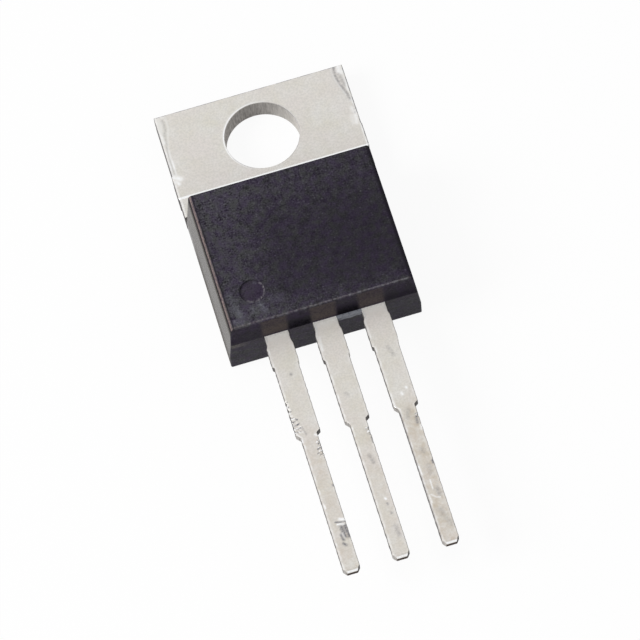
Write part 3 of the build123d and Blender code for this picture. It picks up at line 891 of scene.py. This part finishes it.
# Filled epoxy as it leaves a fine spark-eroded mould: near black with a violet cast, mottled by
# filler that is drawn coarser than it is, and dusty where it was handled. Painted shade, painted
# highlights and painted reflections lie over it as marks. Its IOR is set low, so that the steep
# faces mirror no more of the white table than they should.
epoxy, tree = new_finish("moulded_black_epoxy")
place = add(tree, "TexCoord", output="Object")
speck = add(tree, "TexNoise", {"Scale": 1 / (0.09 * MM), "Detail": 2.0}, {"Vector": place})
mottle = add(tree, "TexNoise", {"Scale": 1 / (0.42 * MM), "Detail": 6.0, "Roughness": 0.72},
             {"Vector": place})
shifted = add(tree, "Mapping", {1: (0.021, 0.004, 0.009)}, {0: place})
violet = add(tree, "TexNoise", {"Scale": 1 / (0.5 * MM), "Detail": 4.0, "Roughness": 0.6},
             {"Vector": shifted})
lightening_share = add(tree, "Attribute", {"attribute_name": "lightening"}, output="Fac")
uneven = add(tree, "Math", {"operation": "MULTIPLY_ADD", 1: 3.4, 2: -3.4}, {0: mottle})
uneven = add(tree, "Math", {"operation": "MULTIPLY_ADD", 1: 3.4}, {0: speck, 2: uneven})
strong = add(tree, "Math", {"operation": "MULTIPLY_ADD", 1: 1.3, 2: 0.2}, {0: lightening_share})
uneven = add(tree, "Math", {"operation": "MULTIPLY_ADD"}, {0: uneven, 1: strong, 2: lightening_share})
mottled = add(tree, "MapRange", {"From Min": -0.50, "From Max": 1.30}, {"Value": uneven})
tinged = add(tree, "MapRange", {"From Min": 0.38, "From Max": 0.62}, {"Value": violet})
resin = {}
for shade, grey, tinge in (("dark", "#1d1b20", "#221b29"), ("pale", "#474749", "#453f4e")):
    resin[shade] = add(tree, "Mix", {"data_type": "RGBA", 6: linear(grey), 7: linear(tinge)},
                       {0: tinged}, output=2)
colour = add(tree, "Mix", {"data_type": "RGBA"},
             {0: mottled, 6: resin["dark"], 7: resin["pale"]}, output=2)
greyed = add(tree, "Math", {"operation": "MULTIPLY_ADD", 1: 0.10}, {0: lightening_share, 2: speck})
greyed = add(tree, "MapRange", {"From Min": 0.70, "From Max": 0.86, "To Max": 0.5}, {"Value": greyed})
colour = add(tree, "Mix", {"data_type": "RGBA", 7: linear("#6f6e74")}, {0: greyed, 6: colour}, output=2)
uneven = add(tree, "MapRange",
             {"From Min": 0.3, "From Max": 0.7, "To Min": 0.55, "To Max": 1.45}, {"Value": speck})
# Among the marks laid on here are painted shade, painted reflections and painted highlights.
for mark, code, most in (("mark", "#372b40", 0.4), ("lead_reflection", "#544c49", 0.85), ("pale", "#90939b", 1.0),
                         ("crease_and_painted_shade", "#0b0a0c", 1.0), ("painted_reflection", "#6b6760", 1.0), ("scuff_and_highlight", "#8b7c78", 1.0)):
    painted = add(tree, "Attribute", {"attribute_name": mark}, output="Fac")
    share = add(tree, "Math", {"operation": "MULTIPLY"}, {0: painted, 1: uneven})
    share = add(tree, "Math", {"operation": "MULTIPLY", "use_clamp": True, 1: most}, {0: share})
    colour = add(tree, "Mix", {"data_type": "RGBA", 7: linear(code)}, {0: share, 6: colour}, output=2)
    if mark == "crease_and_painted_shade":
        dull = share
roughness = add(tree, "MapRange", {"To Min": 0.15, "To Max": 0.27}, {"Value": mottle})
roughness = add(tree, "Math", {"operation": "MULTIPLY_ADD", 1: 0.55}, {0: dull, 2: roughness})
close_finish(tree, speck, {"IOR": 1.065}, {"Base Color": colour, "Roughness": roughness},
             strength=0.5, depth=0.012)

make_piece("epoxy_body", shells, [body_marks], [epoxy], "moulded_body")


# -------------------- studio
# White table and white surroundings, a large soft lamp to the upper left, and a long lens that
# looks down over the leads. The table and the sky show as plain white to the camera and in
# reflections, and the table keeps a faint shadow.

table_size = 4.0
table_glow = 0.93
sky_light = 0.50
lamp_direction = Vector((-0.80, -0.05, 0.66))
lamp_distance = 0.45
lamp_size = 0.22
lamp_power = 1.40
camera_azimuth, camera_elevation, camera_roll = np.radians([-7.372, 61.771, -9.711])
camera_distance = 271.386 * MM
camera_lens = 303.6
camera_aim = Vector((-0.2279, -12.210, 2.920)) * MM


def seen_directly(tree):
    """1 for rays from the camera, and for those that mirror or pass through something."""
    ray = tree.nodes.new("ShaderNodeLightPath")
    share = ray.outputs["Is Camera Ray"]
    for kind in ("Is Glossy Ray", "Is Transmission Ray"):
        share = add(tree, "Math", {"operation": "MAXIMUM"}, {0: share, 1: ray.outputs[kind]})
    return share


paper, tree = new_finish("white_table_paper")
glow_share = add(tree, "Math", {"operation": "MULTIPLY", 1: table_glow}, {0: seen_directly(tree)})
matt = add(tree, "BsdfDiffuse", {"Color": linear("#fcfcfc")})
glow = add(tree, "Emission", {"Color": linear("#ffffff")})
shader = add(tree, "MixShader", {}, {0: glow_share, 1: matt, 2: glow})
add(tree, "OutputMaterial", {}, {0: shader})

table_points = np.array([(-1, -1, 0), (1, -1, 0), (1, 1, 0), (-1, 1, 0)]) * table_size / 2
table_mesh = bpy.data.meshes.new("table")
table_mesh.from_pydata(table_points.tolist(), [], [(0, 1, 2, 3)])
table_mesh.materials.append(paper)
table = put_in_scene("table", table_mesh)

world = bpy.data.worlds.new("white_surroundings")
world.use_nodes = True
world.node_tree.nodes.clear()
tree = world.node_tree
strength = add(tree, "MapRange", {"To Min": sky_light, "To Max": 1.0}, {"Value": seen_directly(tree)})
sky = add(tree, "Background", {"Color": linear("#ffffff")}, {"Strength": strength})
add(tree, "OutputWorld", {}, {0: sky})
bpy.context.scene.world = world

light = bpy.data.lights.new("soft_lamp", "AREA")
light.size = lamp_size
light.energy = lamp_power
lamp = put_in_scene("soft_lamp", light)
lamp.location = lamp_direction.normalized() * lamp_distance
lamp.rotation_euler = lamp_direction.to_track_quat("Z", "Y").to_euler()

view = bpy.data.cameras.new("camera")
view.lens = camera_lens
view.clip_start, view.clip_end = 0.01, 10
camera = put_in_scene("camera", view)
bpy.context.scene.camera = camera
back = Vector((np.sin(camera_azimuth) * np.cos(camera_elevation),
               -np.cos(camera_azimuth) * np.cos(camera_elevation), np.sin(camera_elevation)))
turned = back.to_track_quat("Z", "Y") @ Matrix.Rotation(camera_roll, 3, "Z").to_quaternion()
camera.matrix_world = Matrix.LocRotScale(camera_aim + back * camera_distance, turned, None)
bpy.context.scene.view_settings.view_transform = "Standard"
